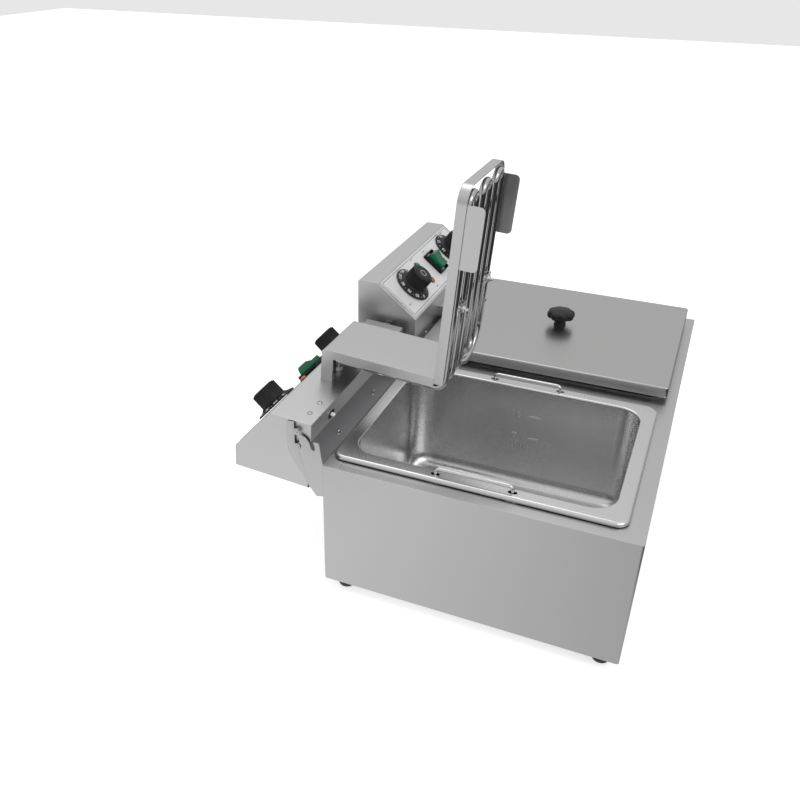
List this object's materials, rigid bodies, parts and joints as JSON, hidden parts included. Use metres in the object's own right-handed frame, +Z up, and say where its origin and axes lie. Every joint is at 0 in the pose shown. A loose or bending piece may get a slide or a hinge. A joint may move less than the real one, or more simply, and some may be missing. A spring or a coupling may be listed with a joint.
{
  "type": "double deep fryer",
  "caption": "Worktop deep fryer with two lift-out oil tanks side by side and, behind each, a control head that swings up with its heating element; one tank has its lid on.",
  "frame": {"origin": "on the worktop plane under the middle of the cabinet", "axes": "+X to the right of a user at the front, +Y to the back, +Z up"},
  "size_m": [0.628, 0.5055, 0.5123],
  "materials": {
    "cabinet_steel": "brushed stainless sheet",
    "cover_steel": "dull galvanised sheet",
    "bracket_steel": "bright plated steel",
    "screw_steel": "bright plated",
    "tank_steel": "drawn stainless sheet",
    "bail_wire": "bright wire",
    "lid_steel": "satin stainless sheet",
    "knob_black": "fine grained",
    "foot_rubber": "dull",
    "panel_silver": "satin silver sheet with plain marks",
    "control_body": "moulded",
    "switch_black": "glossy",
    "rocker_green": "glossy translucent green",
    "lamp_green": "clear green lens",
    "lamp_orange": "clear orange lens",
    "plunger_white": "moulded",
    "gland_black": "moulded",
    "riser_steel": "brushed stainless sheet",
    "tube_steel": "polished heating tube",
    "sensor_copper": "nickel washed copper"
  },
  "bodies": {
    "cabinet": {"casing_shell": "cabinet_steel", "back_panel": "cabinet_steel", "base_panel": "cabinet_steel", "rubber_feet": "foot_rubber", "hinge_brackets": "bracket_steel", "case_screws": "screw_steel", "left_tank": "tank_steel", "right_tank": "tank_steel"},
    "left_head": {"left_head_housing": "cabinet_steel", "left_bottom_cover": "cover_steel", "left_panel_plate": "panel_silver", "left_head_screws": "screw_steel", "left_hinge_pins": "screw_steel", "left_thermostat_body": "control_body", "left_timer_body": "control_body", "left_switch_frame": "switch_black", "left_green_lamp": "lamp_green", "left_orange_lamp": "lamp_orange", "left_safety_switch": "switch_black", "left_cable_gland": "gland_black", "left_riser_cover": "riser_steel", "left_element_guard": "riser_steel", "left_heating_tubes": "tube_steel", "left_tube_nuts": "screw_steel", "left_clamp_straps": "riser_steel", "left_sensor_bulbs": "sensor_copper"},
    "left_thermostat_knob_turning": {"left_thermostat_knob": "knob_black"},
    "left_timer_knob_turning": {"left_timer_knob": "knob_black"},
    "left_rocker": {"left_switch_rocker": "rocker_green"},
    "left_plunger": {"left_switch_plunger": "plunger_white"},
    "right_head": {"right_head_housing": "cabinet_steel", "right_bottom_cover": "cover_steel", "right_panel_plate": "panel_silver", "right_head_screws": "screw_steel", "right_hinge_pins": "screw_steel", "right_thermostat_body": "control_body", "right_timer_body": "control_body", "right_switch_frame": "switch_black", "right_green_lamp": "lamp_green", "right_orange_lamp": "lamp_orange", "right_safety_switch": "switch_black", "right_cable_gland": "gland_black", "right_riser_cover": "riser_steel", "right_element_guard": "riser_steel", "right_heating_tubes": "tube_steel", "right_tube_nuts": "screw_steel", "right_clamp_straps": "riser_steel", "right_sensor_bulbs": "sensor_copper"},
    "right_thermostat_knob_turning": {"right_thermostat_knob": "knob_black"},
    "right_timer_knob_turning": {"right_timer_knob": "knob_black"},
    "right_rocker": {"right_switch_rocker": "rocker_green"},
    "right_plunger": {"right_switch_plunger": "plunger_white"},
    "right_lid_assembly": {"right_lid": "lid_steel", "lid_knob": "knob_black", "lid_screw": "screw_steel"},
    "left_near_bail": {"left_tank_near_bail": "bail_wire"},
    "left_far_bail": {"left_tank_far_bail": "bail_wire"},
    "right_near_bail": {"right_tank_near_bail": "bail_wire"},
    "right_far_bail": {"right_tank_far_bail": "bail_wire"}
  },
  "joints": [
    {"name": "left_head_swing", "type": "hinge", "parent": "cabinet", "child": "left_head", "pos_m": [-0.157, 0.2215, 0.21], "axis": [1, 0, 0], "range_deg": [0, 86]},
    {"name": "left_thermostat_knob_turn", "type": "hinge", "parent": "left_head", "child": "left_thermostat_knob_turning", "pos_m": [-0.24, 0.28571, 0.21543], "axis": [0, -0.7461, -0.6658], "range_deg": [0, 300]},
    {"name": "left_timer_knob_turn", "type": "hinge", "parent": "left_head", "child": "left_timer_knob_turning", "pos_m": [-0.062, 0.28571, 0.21543], "axis": [0, -0.7461, -0.6658], "range_deg": [0, 330]},
    {"name": "left_rocker_tilt", "type": "hinge", "parent": "left_head", "child": "left_rocker", "pos_m": [-0.1345, 0.28683, 0.21643], "axis": [-1, 0, 0], "range_deg": [0, 20]},
    {"name": "left_plunger_press", "type": "slide", "parent": "left_head", "child": "left_plunger", "axis": [0, 0.9976, 0.0698], "range_m": [0, 0.003], "stiffness_N_per_m": 300, "springref_m": -0.002},
    {"name": "right_head_swing", "type": "hinge", "parent": "cabinet", "child": "right_head", "pos_m": [0.157, 0.2215, 0.21], "axis": [1, 0, 0], "range_deg": [-14, 0]},
    {"name": "right_thermostat_knob_turn", "type": "hinge", "parent": "right_head", "child": "right_thermostat_knob_turning", "pos_m": [0.074, 0.22056, 0.27443], "axis": [0, 0.6122, -0.7907], "range_deg": [0, 300]},
    {"name": "right_timer_knob_turn", "type": "hinge", "parent": "right_head", "child": "right_timer_knob_turning", "pos_m": [0.252, 0.22056, 0.27443], "axis": [0, 0.6122, -0.7907], "range_deg": [0, 330]},
    {"name": "right_rocker_tilt", "type": "hinge", "parent": "right_head", "child": "right_rocker", "pos_m": [0.1795, 0.21964, 0.27562], "axis": [-1, 0, 0], "range_deg": [0, 20]},
    {"name": "right_plunger_press", "type": "slide", "parent": "right_head", "child": "right_plunger", "axis": [0, 0, 1], "range_m": [0, 0.003], "stiffness_N_per_m": 300, "springref_m": -0.002},
    {"name": "right_lid_lift", "type": "slide", "parent": "cabinet", "child": "right_lid_assembly", "axis": [0, 0, 1], "range_m": [0, 0.12]},
    {"name": "left_near_bail_lift", "type": "slide", "parent": "cabinet", "child": "left_near_bail", "axis": [0, 0, 1], "range_m": [0, 0.026]},
    {"name": "left_far_bail_lift", "type": "slide", "parent": "cabinet", "child": "left_far_bail", "axis": [0, 0, 1], "range_m": [0, 0.026]},
    {"name": "right_near_bail_lift", "type": "slide", "parent": "cabinet", "child": "right_near_bail", "axis": [0, 0, 1], "range_m": [0, 0.002]},
    {"name": "right_far_bail_lift", "type": "slide", "parent": "cabinet", "child": "right_far_bail", "axis": [0, 0, 1], "range_m": [0, 0.002]}
  ]
}
